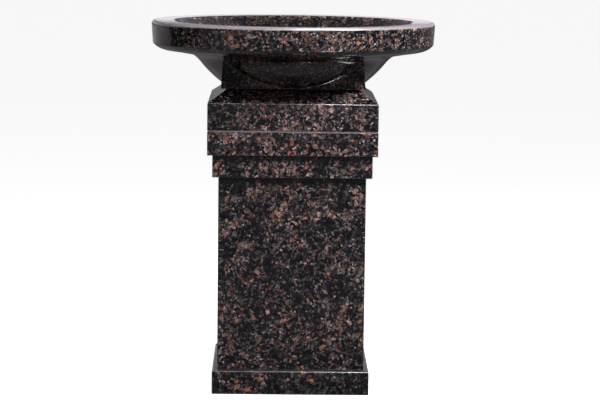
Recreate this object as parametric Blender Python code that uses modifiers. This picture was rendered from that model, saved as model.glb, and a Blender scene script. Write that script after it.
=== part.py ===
"""Baptismal font in polished granite: a turned bowl on a square foot, carried by a square pedestal.

Units are metres and +Z is up. The origin is on the floor, at the centre of the base slab's
underside. The pedestal's stones are bedded on thin joints and pinned with dowels. They are bored
through, and the basin drains down the bore. The drain plug lifts out.
"""

import math

import bmesh
import bpy
from mathutils import Matrix, Vector

# Gaps and joints
GAP = 0.0003
BED = 0.0020
BED_SETBACK = 0.0030
ARRIS = 0.0015

# Stones of the pedestal, from the floor up
BASE_WIDTH = 0.4014
BASE_HEIGHT = 0.0603
SHAFT_WIDTH = 0.375
SHAFT_HEIGHT = 0.4929
LOWER_WIDTH = 0.406
LOWER_HEIGHT = 0.0548
MIDDLE_WIDTH = 0.432
MIDDLE_HEIGHT = 0.0613
CAP_WIDTH = 0.432
CAP_FACE_HEIGHT = 0.0690
CAP_SLOPE_HEIGHT = 0.0325
CAP_SLOPE_INSET = 0.047

# Bowl: the square foot
FOOT_WIDTH = 0.3656
FOOT_TOP_WIDTH = 0.3568
FOOT_HEIGHT = 0.090

# Bowl: the turned outside, with heights above the foot's underside
RIM_RADIUS = 0.3675
RIM_BOTTOM_RADIUS = 0.3636
RIM_BOTTOM = 0.1064
RIM_HEIGHT = 0.0590
LIP_ROUND = 0.006
SOFFIT_RADIUS = 0.328
SOFFIT_HEIGHT = 0.0895
SOFFIT_INNER_RADIUS = 0.270
SOFFIT_INNER_HEIGHT = 0.0795
SOFFIT_MEETS_BELLY = 0.254
BELLY_ROUND = 0.308
BELLY_CENTRE = 0.251
BELLY_TOP_RADIUS = 0.236
BELLY_END = 0.0020

# Bowl: the basin
BASIN_RADIUS = 0.308
BASIN_FLOOR_RADIUS = 0.048
BASIN_FLOOR = 0.040
BASIN_FLATNESS = 1.25

# Drain
BORE_RADIUS = 0.028
POCKET_RADIUS = 0.042
POCKET_DEPTH = 0.056
THROAT_RADIUS = 0.0175
WASTE_TUBE_RADIUS = 0.0205
WASTE_TUBE_BELOW = 0.050
WASTE_BORE_RADIUS = 0.0211
FLANGE_RADIUS = 0.036
FLANGE_THICK = 0.0030
GASKET_THICK = 0.0015
LOWER_GASKET_RADIUS = 0.031
WASHER_THICK = 0.0020
NUT_RADIUS = 0.034
NUT_THICK = 0.0100
PIPE_WALL = 0.0015
PIPE_OVERLAP = 0.020
PIPE_FOOT_GAP = 0.0020
SLIP_NUT_RADIUS = 0.0265
SLIP_NUT_LIP = 0.0030
SLIP_NUT_HEIGHT = 0.018

# Plug
PLUG_LIP_RADIUS = 0.0215
PLUG_LIP_THICK = 0.0025
PLUG_SEAL_HEIGHT = 0.0080
PLUG_CORE_RADIUS = 0.0130
PLUG_END_RADIUS = 0.0157
PLUG_END_THICK = 0.0020
KNOB_NECK_RADIUS = 0.0035
KNOB_RADIUS = 0.0070
KNOB_HEIGHT = 0.0155

# Dowels
DOWEL_RADIUS = 0.0060
DOWEL_DEPTH = 0.0280
DOWEL_REACH = 0.115

# Facets and cutters
TURNED_STEPS = 56
BORE_STEPS = 20
SMALL_STEPS = 20
DOWEL_STEPS = 12
LIP_STEPS = 3
PROFILE_STEPS = 4
BASIN_STEPS = 10
KNOB_STEPS = 8
ARRIS_ANGLE = 20
SHARP_ANGLE = 35
MERGE_DISTANCE = 0.00001
CUT_ABOVE = 0.020

# The stone that each stone carries
NEXT_STONE = {
    "base_slab": "shaft",
    "shaft": "lower_course",
    "lower_course": "middle_course",
    "middle_course": "cap_stone",
    "cap_stone": "bowl",
}

# Heights of the stones above the floor
BASE_TOP = BASE_HEIGHT
SHAFT_BOTTOM = BASE_TOP + BED
SHAFT_TOP = SHAFT_BOTTOM + SHAFT_HEIGHT
LOWER_BOTTOM = SHAFT_TOP + BED
LOWER_TOP = LOWER_BOTTOM + LOWER_HEIGHT
MIDDLE_BOTTOM = LOWER_TOP + BED
MIDDLE_TOP = MIDDLE_BOTTOM + MIDDLE_HEIGHT
CAP_BOTTOM = MIDDLE_TOP + BED
CAP_TOP = CAP_BOTTOM + CAP_FACE_HEIGHT + CAP_SLOPE_HEIGHT
BOWL_BOTTOM = CAP_TOP + BED
RIM_TOP = RIM_BOTTOM + RIM_HEIGHT
CAP_FLAT_WIDTH = CAP_WIDTH - 2 * CAP_SLOPE_INSET
FOOT_TOP = BOWL_BOTTOM + FOOT_HEIGHT

# Materials: colour, roughness, metallic
GRANITE = ((0.060, 0.045, 0.044), 0.12, 0.0)
RESIN = ((0.250, 0.230, 0.235), 0.80, 0.0)
STEEL = ((0.560, 0.560, 0.570), 0.35, 1.0)
BRASS = ((0.720, 0.530, 0.260), 0.25, 1.0)
RUBBER = ((0.030, 0.030, 0.030), 0.75, 0.0)
COPPER = ((0.620, 0.330, 0.220), 0.35, 1.0)


def clear_scene():
    for old in list(bpy.data.objects):
        bpy.data.objects.remove(old, do_unlink=True)


def new_collection(name):
    collection = bpy.data.collections.new(name)
    bpy.context.scene.collection.children.link(collection)
    return collection


def add_material(piece, look):
    colour, roughness, metallic = look
    material = bpy.data.materials.new(piece.name)
    material.use_nodes = True
    shader = material.node_tree.nodes["Principled BSDF"]
    shader.inputs["Base Color"].default_value = (*colour, 1.0)
    shader.inputs["Roughness"].default_value = roughness
    shader.inputs["Metallic"].default_value = metallic
    piece.data.materials.append(material)


def add_object(name, mesh, look=None):
    """A piece of the font when it has a look, and otherwise a cutter."""
    piece = bpy.data.objects.new(name, mesh)
    if look:
        parts.objects.link(piece)
        add_material(piece, look)
    else:
        cutters.objects.link(piece)
        piece.hide_render = True
        piece.display_type = "WIRE"
    return piece


def square_block(name, bottom, top, bottom_width, top_width, look=None):
    """A square block or frustum between two heights, with its sides along X and Y."""
    form = bmesh.new()
    bmesh.ops.create_cone(
        form,
        cap_ends=True,
        segments=4,
        radius1=bottom_width / math.sqrt(2),
        radius2=top_width / math.sqrt(2),
        depth=top - bottom,
    )
    turn = Matrix.Rotation(math.radians(45), 4, "Z")
    lift = Matrix.Translation((0, 0, (top + bottom) / 2))
    bmesh.ops.transform(form, matrix=lift @ turn, verts=form.verts)
    mesh = bpy.data.meshes.new(name)
    form.to_mesh(mesh)
    form.free()
    return add_object(name, mesh, look)


def raise_slope(stone, inset, rise):
    """Draws the block's top face up and inwards, into a hipped slope with a flat on it."""
    form = bmesh.new()
    form.from_mesh(stone.data)
    top = max(form.faces, key=lambda face: face.calc_center_median().z)
    half = max(vertex.co.x for vertex in top.verts)
    drawn = bmesh.ops.extrude_face_region(form, geom=[top])
    corners = [item for item in drawn["geom"] if isinstance(item, bmesh.types.BMVert)]
    bmesh.ops.scale(form, vec=((half - inset) / half, (half - inset) / half, 1), verts=corners)
    bmesh.ops.translate(form, vec=(0, 0, rise), verts=corners)
    bmesh.ops.delete(form, geom=[top], context="FACES_ONLY")
    form.to_mesh(stone.data)
    form.free()


def turned(name, outline, steps, look=None, closed=True):
    """A turned shape. The outline runs down the outer side; a closed one is a ring."""
    points = [Vector((radius, 0, height)) for radius, height in outline]
    edges = [(i, i + 1) for i in range(len(points) - 1)]
    if closed:
        edges.append((len(points) - 1, 0))
    mesh = bpy.data.meshes.new(name)
    mesh.from_pydata(points, edges, [])
    piece = add_object(name, mesh, look)
    screw = piece.modifiers.new("Turn", "SCREW")
    screw.axis = "Z"
    screw.angle = math.tau
    screw.steps = steps
    screw.render_steps = steps
    screw.use_merge_vertices = True
    screw.merge_threshold = MERGE_DISTANCE
    screw.use_smooth_shade = True
    return piece


def upright_cylinder(name, radius, bottom, top, steps, look=None, x=0.0):
    form = bmesh.new()
    bmesh.ops.create_cone(
        form,
        cap_ends=True,
        segments=steps,
        radius1=radius,
        radius2=radius,
        depth=top - bottom,
    )
    mesh = bpy.data.meshes.new(name)
    form.to_mesh(mesh)
    form.free()
    if look:
        mesh.shade_smooth()
        mesh.set_sharp_from_angle(angle=math.radians(SHARP_ANGLE))
    piece = add_object(name, mesh, look)
    piece.location = (x, 0, (top + bottom) / 2)
    return piece


def cut(piece, cutter, operation="DIFFERENCE"):
    boolean = piece.modifiers.new(cutter.name, "BOOLEAN")
    boolean.operation = operation
    boolean.object = cutter
    boolean.solver = "EXACT"


def chamfer(piece, width):
    bevel = piece.modifiers.new("Arris", "BEVEL")
    bevel.width = width
    bevel.segments = 1
    bevel.limit_method = "ANGLE"
    bevel.angle_limit = math.radians(ARRIS_ANGLE)


def arc(centre, radius, start, end, count):
    """Points on a circle, with angles in degrees from +X."""
    points = []
    for i in range(count + 1):
        angle = math.radians(start + (end - start) * i / count)
        points.append((centre[0] + radius * math.cos(angle), centre[1] + radius * math.sin(angle)))
    return points


def blend_curve(start, corner, end, count):
    """Points on a quadratic curve that is tangent to both legs of the corner."""
    points = []
    for i in range(count + 1):
        t = i / count
        a, b, c = (1 - t) ** 2, 2 * t * (1 - t), t ** 2
        points.append(tuple(a * p + b * q + c * r for p, q, r in zip(start, corner, end)))
    return points


def belly_height(radius):
    return BELLY_CENTRE - math.sqrt(BELLY_ROUND ** 2 - radius ** 2)


def bowl_outline():
    """The turned outside: lip, rim band, soffit under the rim, and belly."""
    lip = arc((RIM_RADIUS - LIP_ROUND, RIM_TOP - LIP_ROUND), LIP_ROUND, 90, 0, LIP_STEPS)
    reach = RIM_BOTTOM_RADIUS - SOFFIT_RADIUS
    fall = RIM_BOTTOM - SOFFIT_HEIGHT
    soffit_round = (reach ** 2 + fall ** 2) / (2 * fall)
    start = -math.degrees(math.acos(reach / soffit_round))
    soffit = arc((SOFFIT_RADIUS, SOFFIT_HEIGHT + soffit_round), soffit_round, start, -90, PROFILE_STEPS)
    slope = (SOFFIT_HEIGHT - SOFFIT_INNER_HEIGHT) / (SOFFIT_RADIUS - SOFFIT_INNER_RADIUS)
    run = SOFFIT_INNER_RADIUS - SOFFIT_MEETS_BELLY
    corner = (SOFFIT_MEETS_BELLY, SOFFIT_INNER_HEIGHT - slope * run)
    hollow = blend_curve(
        (SOFFIT_INNER_RADIUS, SOFFIT_INNER_HEIGHT),
        corner,
        (BELLY_TOP_RADIUS, belly_height(BELLY_TOP_RADIUS)),
        PROFILE_STEPS,
    )
    start = -math.degrees(math.acos(BELLY_TOP_RADIUS / BELLY_ROUND))
    end = -math.degrees(math.asin((BELLY_CENTRE - BELLY_END) / BELLY_ROUND))
    belly = arc((0, BELLY_CENTRE), BELLY_ROUND, start, end, PROFILE_STEPS)
    outline = lip + [(RIM_BOTTOM_RADIUS, RIM_BOTTOM)] + soffit[1:] + hollow + belly[1:]
    return [(0, RIM_TOP)] + outline + [(0, BELLY_END)]


def basin_outline():
    """The hollow of the basin, from above the lip down to the flat floor."""
    depth = RIM_TOP - BASIN_FLOOR
    chord = BASIN_RADIUS - BASIN_FLOOR_RADIUS
    round_radius = (chord ** 2 + depth ** 2) / (2 * depth) * BASIN_FLATNESS
    middle = ((BASIN_RADIUS + BASIN_FLOOR_RADIUS) / 2, (RIM_TOP + BASIN_FLOOR) / 2)
    length = math.hypot(chord, depth)
    back = math.sqrt(round_radius ** 2 - (length / 2) ** 2)
    centre = (middle[0] - back * depth / length, middle[1] + back * chord / length)
    start = math.degrees(math.atan2(RIM_TOP - centre[1], BASIN_RADIUS - centre[0]))
    end = math.degrees(math.atan2(BASIN_FLOOR - centre[1], BASIN_FLOOR_RADIUS - centre[0]))
    wall = arc(centre, round_radius, start, end, BASIN_STEPS)
    above = [(0, RIM_TOP + CUT_ABOVE), (BASIN_RADIUS, RIM_TOP + CUT_ABOVE)]
    return above + wall + [(0, BASIN_FLOOR)]


def lifted(outline, height):
    return [(radius, z + height) for radius, z in outline]


def ring(inner, outer, bottom, top):
    """The outline of a plain ring, down its outer side and up its bore."""
    return [(outer, top), (outer, bottom), (inner, bottom), (inner, top)]


def make_dowels(level, label):
    """Two pins across the joint whose upper stone starts at that height, and their holes."""
    holes = []
    middle = level - BED / 2
    for side, name in ((-1, "left"), (1, "right")):
        x = side * DOWEL_REACH
        low, high = middle - DOWEL_DEPTH, middle + DOWEL_DEPTH
        upright_cylinder(f"{label}_dowel_{name}", DOWEL_RADIUS, low, high, DOWEL_STEPS, STEEL, x)
        hole = upright_cylinder(
            f"cut_{label}_{name}", DOWEL_RADIUS + GAP, low - GAP, high + GAP, DOWEL_STEPS, None, x
        )
        holes.append(hole)
    return holes


def make_bed(label, level, width, hole_radius, holes):
    """The bed of resin mortar under the stone that starts at that height."""
    bed = square_block(
        f"{label}_bed_joint", level - BED + GAP, level - GAP, width, width, RESIN
    )
    bore = upright_cylinder(
        f"cut_{label}_bed", hole_radius, level - 2 * BED, level + BED, BORE_STEPS
    )
    cut(bed, bore)
    for hole in holes:
        cut(bed, hole)


def make_pedestal():
    """The five square stones, their beds and their dowels."""
    bore = upright_cylinder("cut_bore", BORE_RADIUS, -BED, BOWL_BOTTOM, BORE_STEPS)
    pocket = upright_cylinder(
        "cut_pocket", POCKET_RADIUS, CAP_TOP - POCKET_DEPTH, CAP_TOP + BED, BORE_STEPS
    )
    courses = (
        ("base_slab", 0.0, BASE_TOP, BASE_WIDTH),
        ("shaft", SHAFT_BOTTOM, SHAFT_TOP, SHAFT_WIDTH),
        ("lower_course", LOWER_BOTTOM, LOWER_TOP, LOWER_WIDTH),
        ("middle_course", MIDDLE_BOTTOM, MIDDLE_TOP, MIDDLE_WIDTH),
        ("cap_stone", CAP_BOTTOM, CAP_BOTTOM + CAP_FACE_HEIGHT, CAP_WIDTH),
    )
    below = []
    for place, (name, bottom, top, width) in enumerate(courses):
        stone = square_block(name, bottom, top, width, width, GRANITE)
        if name == "cap_stone":
            raise_slope(stone, CAP_SLOPE_INSET, CAP_SLOPE_HEIGHT)
            top = CAP_TOP
        chamfer(stone, ARRIS)
        cut(stone, bore)
        if name == "cap_stone":
            cut(stone, pocket)
        if place:
            bed_width = min(width, courses[place - 1][3]) - 2 * BED_SETBACK
            make_bed(name, bottom, bed_width, BORE_RADIUS, below)
        above = make_dowels(top + BED, NEXT_STONE[name])
        for hole in below + above:
            cut(stone, hole)
        below = above
    make_bed("bowl", BOWL_BOTTOM, CAP_FLAT_WIDTH - 2 * BED_SETBACK, POCKET_RADIUS, below)
    return below


def make_bowl(holes):
    """The bowl and its square foot, cut from one block."""
    bowl = turned("bowl", lifted(bowl_outline(), BOWL_BOTTOM), TURNED_STEPS, GRANITE, closed=False)
    foot = square_block("join_foot", BOWL_BOTTOM, FOOT_TOP, FOOT_WIDTH, FOOT_TOP_WIDTH)
    chamfer(foot, ARRIS)
    basin = turned("cut_basin", lifted(basin_outline(), BOWL_BOTTOM), TURNED_STEPS, closed=False)
    floor = BOWL_BOTTOM + BASIN_FLOOR
    seat = floor - FLANGE_THICK - GASKET_THICK - GAP
    recess = upright_cylinder("cut_recess", FLANGE_RADIUS + 2 * GAP, seat, floor + BED, BORE_STEPS)
    hole = upright_cylinder(
        "cut_waste", WASTE_BORE_RADIUS, BOWL_BOTTOM - BED, floor, BORE_STEPS
    )
    cut(bowl, foot, "UNION")
    for cutter in [basin, recess, hole] + holes:
        cut(bowl, cutter)
    return seat


def make_waste(seat):
    """The brass waste through the basin's floor, clamped to it from below, and the pipe."""
    gasket_top = seat + GAP + GASKET_THICK
    flange_bottom = gasket_top + GAP
    flange_top = flange_bottom + FLANGE_THICK
    tube_bottom = BOWL_BOTTOM - WASTE_TUBE_BELOW
    body = [
        (FLANGE_RADIUS - ARRIS, flange_top),
        (FLANGE_RADIUS, flange_top - ARRIS),
        (FLANGE_RADIUS, flange_bottom),
        (WASTE_TUBE_RADIUS, flange_bottom),
        (WASTE_TUBE_RADIUS, tube_bottom),
        (THROAT_RADIUS, tube_bottom),
        (THROAT_RADIUS, flange_top),
    ]
    turned("waste_body", body, SMALL_STEPS, BRASS)
    gasket = ring(WASTE_BORE_RADIUS, FLANGE_RADIUS - ARRIS, seat + GAP, gasket_top)
    turned("waste_gasket", gasket, SMALL_STEPS, RUBBER)

    level = BOWL_BOTTOM - GAP
    stack = (
        ("clamp_gasket", LOWER_GASKET_RADIUS, GASKET_THICK, RUBBER),
        ("clamp_washer", NUT_RADIUS, WASHER_THICK, BRASS),
    )
    for name, radius, thick, look in stack:
        outline = ring(WASTE_BORE_RADIUS, radius, level - thick, level)
        turned(name, outline, SMALL_STEPS, look)
        level -= thick + GAP
    nut = upright_cylinder("locknut", NUT_RADIUS, level - NUT_THICK, level, 6, BRASS)
    nut_bore = upright_cylinder(
        "cut_locknut", WASTE_BORE_RADIUS, level - 2 * NUT_THICK, level + BED, SMALL_STEPS
    )
    cut(nut, nut_bore)

    pipe_radius = THROAT_RADIUS - GAP
    pipe_top = tube_bottom + PIPE_OVERLAP
    pipe = ring(pipe_radius - PIPE_WALL, pipe_radius, PIPE_FOOT_GAP, pipe_top)
    turned("drain_pipe", pipe, SMALL_STEPS, COPPER)
    lip_top = tube_bottom - GAP
    nut_bottom = lip_top - SLIP_NUT_LIP
    slip_nut = [
        (SLIP_NUT_RADIUS, nut_bottom + SLIP_NUT_HEIGHT),
        (SLIP_NUT_RADIUS, nut_bottom),
        (THROAT_RADIUS + GAP, nut_bottom),
        (THROAT_RADIUS + GAP, lip_top),
        (WASTE_BORE_RADIUS, lip_top),
        (WASTE_BORE_RADIUS, nut_bottom + SLIP_NUT_HEIGHT),
    ]
    turned("slip_nut", slip_nut, SMALL_STEPS, BRASS)
    return flange_top


def make_plug(flange_top):
    """The lift-out plug: a brass body with a lip, a rubber ring in its groove, and a knob."""
    lip_bottom = flange_top + GAP
    lip_top = lip_bottom + PLUG_LIP_THICK
    end_top = lip_bottom - PLUG_SEAL_HEIGHT - 2 * GAP
    body = [
        (0, lip_top),
        (PLUG_LIP_RADIUS - ARRIS, lip_top),
        (PLUG_LIP_RADIUS, lip_top - ARRIS),
        (PLUG_LIP_RADIUS, lip_bottom),
        (PLUG_CORE_RADIUS, lip_bottom),
        (PLUG_CORE_RADIUS, end_top),
        (PLUG_END_RADIUS, end_top),
        (PLUG_END_RADIUS, end_top - PLUG_END_THICK),
        (0, end_top - PLUG_END_THICK),
    ]
    turned("plug_body", body, SMALL_STEPS, BRASS, closed=False)
    seal = ring(PLUG_CORE_RADIUS + GAP, THROAT_RADIUS - GAP, end_top + GAP, lip_bottom - GAP)
    turned("plug_seal", seal, SMALL_STEPS, RUBBER)
    knob_bottom = lip_top + GAP
    ball = (0, knob_bottom + KNOB_HEIGHT - KNOB_RADIUS)
    neck_angle = -math.degrees(math.acos(KNOB_NECK_RADIUS / KNOB_RADIUS))
    knob = arc(ball, KNOB_RADIUS, 90, neck_angle, KNOB_STEPS)
    knob[0] = (0, knob[0][1])
    knob += [(KNOB_NECK_RADIUS, knob_bottom), (0, knob_bottom)]
    turned("plug_knob", knob, SMALL_STEPS, BRASS, closed=False)


clear_scene()
parts = new_collection("baptismal_font")
cutters = new_collection("cutters")
bowl_holes = make_pedestal()
waste_seat = make_bowl(bowl_holes)
waste_top = make_waste(waste_seat)
make_plug(waste_top)
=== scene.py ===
"""Looks of a baptismal font in polished granite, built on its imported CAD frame.

Units are metres and +Z is up. The six stones, their bed joints, the brass waste and the drain plug
are built again with fine shapes. The dowels, gaskets, nuts and the pipe keep their CAD shapes and
get better materials.
"""
import math

import bmesh
import bpy
from mathutils import Matrix, Vector, noise


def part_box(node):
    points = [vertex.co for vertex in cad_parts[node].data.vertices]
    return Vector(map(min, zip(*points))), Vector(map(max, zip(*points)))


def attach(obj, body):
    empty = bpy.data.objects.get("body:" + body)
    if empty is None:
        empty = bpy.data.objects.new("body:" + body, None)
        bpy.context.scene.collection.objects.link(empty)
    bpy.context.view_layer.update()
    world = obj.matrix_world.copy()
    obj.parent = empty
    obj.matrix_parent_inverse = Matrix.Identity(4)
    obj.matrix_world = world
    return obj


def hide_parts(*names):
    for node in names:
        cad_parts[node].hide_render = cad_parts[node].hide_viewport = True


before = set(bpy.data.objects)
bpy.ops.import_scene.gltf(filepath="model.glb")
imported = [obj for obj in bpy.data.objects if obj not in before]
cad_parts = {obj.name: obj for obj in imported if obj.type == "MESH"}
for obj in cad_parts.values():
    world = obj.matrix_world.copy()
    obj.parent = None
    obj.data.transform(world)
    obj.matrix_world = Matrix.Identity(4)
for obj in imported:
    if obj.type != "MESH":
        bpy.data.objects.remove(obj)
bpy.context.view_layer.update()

MM = 0.001
FONT = "font"
PLUG = "drain_plug"

# Stones of the pedestal
ARRIS = 1.8 * MM
BASE_ARRIS = 2.6 * MM
ARRIS_STEPS = 4
ARRIS_NARROW = 0.75 * ARRIS     # only an arris has faces narrower than this
BEVEL_ANGLE = 20
RING_SPACING = 14 * MM
LEVEL_SPACING = 26 * MM
SLOPE_SPACING = 12 * MM
CAP_FACE_HEIGHT = 69.0 * MM
CAP_SLOPE_INSET = 47.0 * MM
BORE_RADIUS = 28.0 * MM
POCKET_RADIUS = 42.0 * MM
POCKET_DEPTH = 56.0 * MM
GAP = 0.3 * MM

# Wear: how deep it goes, its waves per metre, and how honed the arrises and the lip are; the honed parts
# are also painted paler, as a painted highlight
WEAR = 0.5 * MM
WEAR_LONG = 23
WEAR_SHORT = 70
ARRIS_HONED_AND_HIGHLIGHT = 0.45
LIP_HONED_AND_HIGHLIGHT = 1.25

# Bed joints: how far the mortar's edge stands out from its CAD box, or in from it where this is
# below zero, and how hollow and uneven it is
BED_SPREAD = 2.2 * MM
BOWL_BED_SPREAD = -4 * MM
BED_HOLLOW = 0.5 * MM
BED_UNEVEN = 60

# Bowl: the square foot
FOOT_HALF = 182.8 * MM
FOOT_TOP_HALF = 178.4 * MM
FOOT_HEIGHT = 90.0 * MM
FOOT_CORNER = 2.4 * MM
FOOT_ARRIS = 1.2 * MM
CREASE = 3.0 * MM
CREASE_REACH = 0.8              # the crease's share of that out along the belly
CREASE_SEARCHES = 40
LEAST_SIDE = 0.1 * MM
UNDER_STEPS = 6
SIDE_STEPS = 8
CREASE_STEPS = 6

# Bowl: the turned outside, with heights above the foot's underside
RIM_BOTTOM_RADIUS = 363.6 * MM
RIM_BOTTOM = 106.4 * MM
LIP_ROUND = 10.0 * MM
LIP_FALL = 1.4 * MM
LIP_CREST = 1.5 * MM
LIP_FLAT_WIDTH = 18 * MM
# Painted highlight: this share of the lip's rounding is painted paler as well as honed
LIP_HONED_AND_HIGHLIGHT_SHARE = 0.75          # the share of the lip's rounding that is honed
HONED_AND_HIGHLIGHT_INSET = 4 * MM
RIM_FOOT_ROUND = 4.0 * MM
SOFFIT_RADIUS = 328.0 * MM
SOFFIT_HEIGHT = 89.5 * MM
SOFFIT_INNER_RADIUS = 270.0 * MM
SOFFIT_INNER_HEIGHT = 79.5 * MM
SOFFIT_MEETS_BELLY = 254.0 * MM
SOFFIT_SPLIT = 300.0 * MM
BELLY_ROUND = 308.0 * MM
BELLY_CENTRE = 251.0 * MM
BELLY_TOP_RADIUS = 236.0 * MM
BELLY_STEPS = 44
SOFFIT_STEPS = 5
RIM_BEND_STEPS = 8
BAND_STEPS = 6

# Bowl: the basin
BASIN_RADIUS = 314.0 * MM
BASIN_EDGE_ROUND = 3.0 * MM
BASIN_FLOOR_RADIUS = 48.0 * MM
BASIN_FLOOR = 40.0 * MM
BASIN_FLATNESS = 1.25
BASIN_STEPS = 44
BOWL_BEND_STEPS = 7
BASIN_THICKNESS = 10 * MM       # less than this above the underside isn't the basin's wall
RECESS_BEND = 0.8 * MM
RECESS_EDGE = 5 * MM
RECESS_RADIUS = 36.6 * MM
RECESS_DEPTH = 4.8 * MM
WASTE_BORE = 21.1 * MM

# Facets
COLUMNS_PER_SIDE = 72
CORNER_TURNS = (0.0, 0.14, 0.28, 0.42, 0.56, 0.75, 1.0)
CORNER_MARGIN = 0.4             # of a column's width, kept clear beside those turns
BORE_STEPS = 48
DOWEL_STEPS = 24
FINE_STEPS = 96
FLOOR_STEPS = 128
SHARP_ANGLE = 32
STRAIGHT = 89.5                 # half of a corner's angle from which it is left unrounded
TINY = 1e-9


# ---------------------------------------------------------------- mesh helpers

def new_object(name, mesh):
    piece = bpy.data.objects.new(name, mesh)
    bpy.context.scene.collection.objects.link(piece)
    return piece


def mesh_object(name, points, faces):
    mesh = bpy.data.meshes.new(name)
    mesh.from_pydata(points, [], faces)
    mesh.update()
    return new_object(name, mesh)


def settle(piece):
    """Applies the piece's modifiers to its mesh."""
    graph = bpy.context.evaluated_depsgraph_get()
    mesh = bpy.data.meshes.new_from_object(piece.evaluated_get(graph))
    piece.modifiers.clear()
    old = piece.data
    piece.data = mesh
    mesh.name = piece.name
    bpy.data.meshes.remove(old)


def smooth(piece):
    """Smooth shading that keeps wide faces flat and sharp edges sharp."""
    piece.data.shade_smooth()
    piece.data.set_sharp_from_angle(angle=math.radians(SHARP_ANGLE))
    weigh = piece.modifiers.new("Weigh", "WEIGHTED_NORMAL")
    weigh.keep_sharp = True
    settle(piece)


def cylinder(name, x, radius, bottom, top, steps):
    form = bmesh.new()
    bmesh.ops.create_cone(
        form, cap_ends=True, segments=steps, radius1=radius, radius2=radius, depth=top - bottom
    )
    bmesh.ops.translate(form, vec=(x, 0, (top + bottom) / 2), verts=form.verts)
    mesh = bpy.data.meshes.new(name)
    form.to_mesh(mesh)
    form.free()
    return new_object(name, mesh)


def cut(piece, cutters):
    for cutter in cutters:
        boolean = piece.modifiers.new("Cut", "BOOLEAN")
        boolean.object = cutter
        boolean.solver = "EXACT"
    settle(piece)
    for cutter in cutters:
        bpy.data.objects.remove(cutter, do_unlink=True)


def dowel_cutters(low, high):
    """Cutters for the dowel holes that open in the faces at those two heights."""
    cutters = []
    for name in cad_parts:
        if "_dowel_" not in name:
            continue
        bottom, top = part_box(name)
        if low < bottom.z < high or low < top.z < high:
            middle, radius = (bottom + top) / 2, (top.y - bottom.y) / 2
            hole = cylinder("hole", middle.x, radius + GAP, bottom.z - GAP, top.z + GAP, DOWEL_STEPS)
            cutters.append(hole)
    return cutters


def turned(name, outline, steps=FINE_STEPS):
    """A turned ring or solid: the outline runs round its section; points on the axis close it."""
    points, faces, rows = [], [], []
    for radius, height in outline:
        if radius < GAP:
            rows.append([len(points)] * steps)
            points.append((0, 0, height))
            continue
        rows.append(list(range(len(points), len(points) + steps)))
        for i in range(steps):
            angle = math.tau * i / steps
            points.append((radius * math.cos(angle), radius * math.sin(angle), height))
    ring = outline[0][0] >= GAP
    for j in range(len(rows) if ring else len(rows) - 1):
        lower, upper = rows[j], rows[(j + 1) % len(rows)]
        for i in range(steps):
            k = (i + 1) % steps
            corners = [lower[i], upper[i], upper[k], lower[k]]
            faces.append(list(dict.fromkeys(corners)))
    piece = mesh_object(name, points, faces)
    face_out(piece)
    return piece


def face_out(piece):
    form = bmesh.new()
    form.from_mesh(piece.data)
    bmesh.ops.recalc_face_normals(form, faces=form.faces)
    form.to_mesh(piece.data)
    form.free()


def arc(centre, radius, start, end, count):
    """Points on a circle, with angles in degrees from +X."""
    points = []
    for i in range(count + 1):
        angle = math.radians(start + (end - start) * i / count)
        points.append((centre[0] + radius * math.cos(angle), centre[1] + radius * math.sin(angle)))
    return points


def rounded(corners, steps):
    """The corners (radius, height, rounding) as points, with each rounding drawn as an arc."""
    points = []
    for i, (x, y, bend) in enumerate(corners):
        here = Vector((x, y))
        if not bend or i in (0, len(corners) - 1):
            points.append((x, y))
            continue
        before = (Vector(corners[i - 1][:2]) - here).normalized()
        after = (Vector(corners[i + 1][:2]) - here).normalized()
        half = before.angle(after) / 2
        if half > math.radians(STRAIGHT):
            points.append((x, y))
            continue
        reach = bend / math.tan(half)
        centre = here + (before + after).normalized() * (bend / math.sin(half))
        first = here + before * reach - centre
        last = here + after * reach - centre
        for k in range(steps + 1):
            spread = first.angle(last)
            t = k / steps
            a = math.sin((1 - t) * spread) / math.sin(spread)
            b = math.sin(t * spread) / math.sin(spread)
            points.append(tuple(centre + first * a + last * b))
    return points


# ---------------------------------------------------------------- square stones

def square_rings(levels):
    """A closed square form from (half width, height) levels, subdivided along its sides."""
    points, faces = [], []
    widest = max(half for half, _ in levels)
    side = math.ceil(2 * widest / RING_SPACING)
    count = 4 * side
    corners = [(-1, -1), (1, -1), (1, 1), (-1, 1)]
    for half, height in levels:
        for k in range(4):
            (ax, ay), (bx, by) = corners[k], corners[(k + 1) % 4]
            for i in range(side):
                t = i / side
                points.append((half * (ax + (bx - ax) * t), half * (ay + (by - ay) * t), height))
    for j in range(len(levels) - 1):
        for i in range(count):
            k = (i + 1) % count
            faces.append((j * count + i, j * count + k, (j + 1) * count + k, (j + 1) * count + i))
    faces.append(tuple(reversed(range(count))))
    faces.append(tuple(range((len(levels) - 1) * count, len(levels) * count)))
    return points, faces


def wear_arrises(piece, seed):
    """Rubs the rounded arrises back a little, unevenly, and leaves the flat faces alone. Marks them
    honed, which paints them paler as a highlight.
    """
    form = bmesh.new()
    form.from_mesh(piece.data)
    form.normal_update()
    # Painted highlight: the worn arrises are marked to be painted paler
    honed_and_highlight = form.verts.layers.float.new("honed_and_highlight")
    place = Vector((seed, -seed, 0.5 * seed))
    moves = []
    for vertex in form.verts:
        widths = [min(edge.calc_length() for edge in face.edges) for face in vertex.link_faces]
        if max(widths) < ARRIS_NARROW:
            long_wave = noise.noise(vertex.co * WEAR_LONG + place)
            short_wave = noise.noise(vertex.co * WEAR_SHORT - place)
            depth = max(0.0, long_wave + short_wave)
            moves.append((vertex, vertex.normal * (-WEAR * depth)))
    for vertex, move in moves:
        vertex.co += move
        vertex[honed_and_highlight] = ARRIS_HONED_AND_HIGHLIGHT
    form.to_mesh(piece.data)
    form.free()


def heights(bottom, top, spacing=LEVEL_SPACING):
    """Evenly spaced heights from bottom to top."""
    count = max(2, round((top - bottom) / spacing))
    return [bottom + (top - bottom) * i / count for i in range(count + 1)]


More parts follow.
